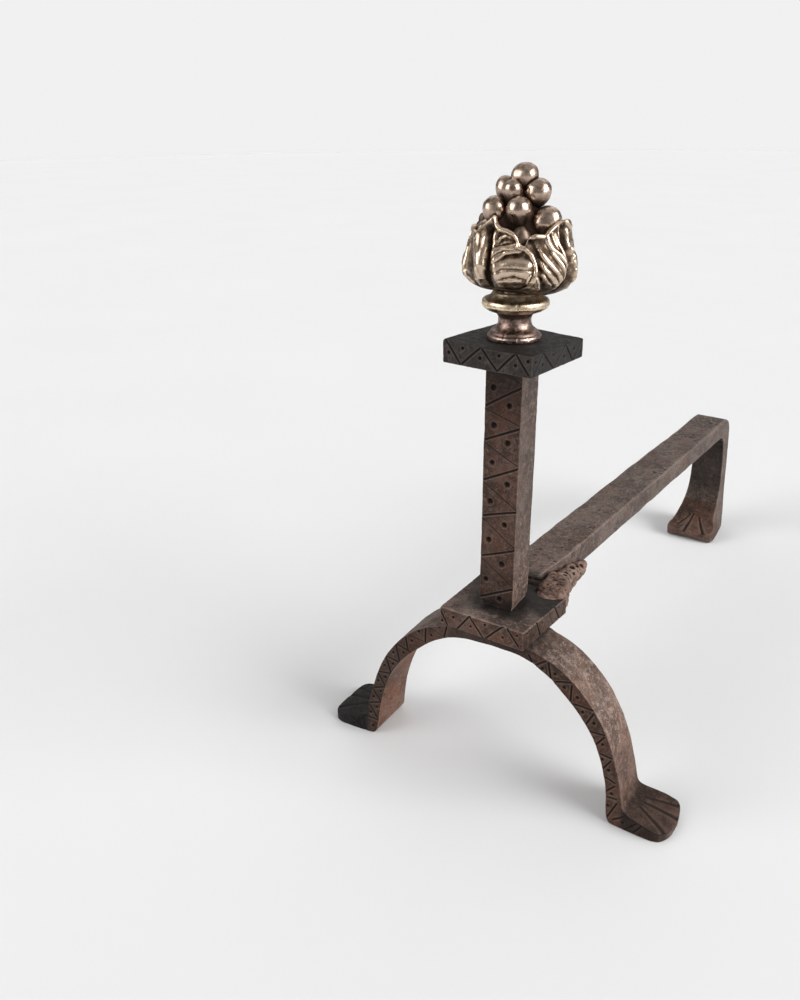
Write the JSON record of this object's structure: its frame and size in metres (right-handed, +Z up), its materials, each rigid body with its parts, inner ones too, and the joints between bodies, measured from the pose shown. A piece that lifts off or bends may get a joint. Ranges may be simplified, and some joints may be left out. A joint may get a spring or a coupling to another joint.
{
  "type": "andiron",
  "caption": "Forged iron andiron: arched front legs, square post with chased plates, log bar bent down to a rear foot, and a cast bronze berry-and-leaf finial.",
  "frame": {"origin": "on the hearth, at the centre of the bounding box's bottom face", "axes": "+Z up, +Y from the front legs towards the back of the fireplace, +X to the right seen from the room"},
  "size_m": [0.2632, 0.5204, 0.4136],
  "materials": {
    "forged_iron": "forged and hammered, brown-grey scale with a little rust, chased lines and punched dots",
    "dark_iron": "forged, charcoal black scale, chased lines and punched dots",
    "stud_steel": "plain threaded rod",
    "red_bronze": "turned, rubbed, pinkish brown patina",
    "brass": "turned and polished, dull gold",
    "bronze": "cast, rubbed bright on the high places, dark brown in the recesses"
  },
  "bodies": {
    "root": {"front_legs": "forged_iron", "base_plate": "forged_iron", "post": "forged_iron", "cap_plate": "dark_iron", "log_bar": "forged_iron", "bar_tongue": "forged_iron", "finial_stud": "stud_steel"},
    "finial": {"finial_pedestal": "red_bronze", "finial_ring": "brass", "finial_bud": "bronze"}
  },
  "joints": [
    {"name": "finial_turn", "type": "hinge", "parent": "root", "child": "finial", "pos_m": [-0.0045, -0.22462, 0.312], "axis": [0, 0, 1], "range_deg": [0, 360]}
  ]
}
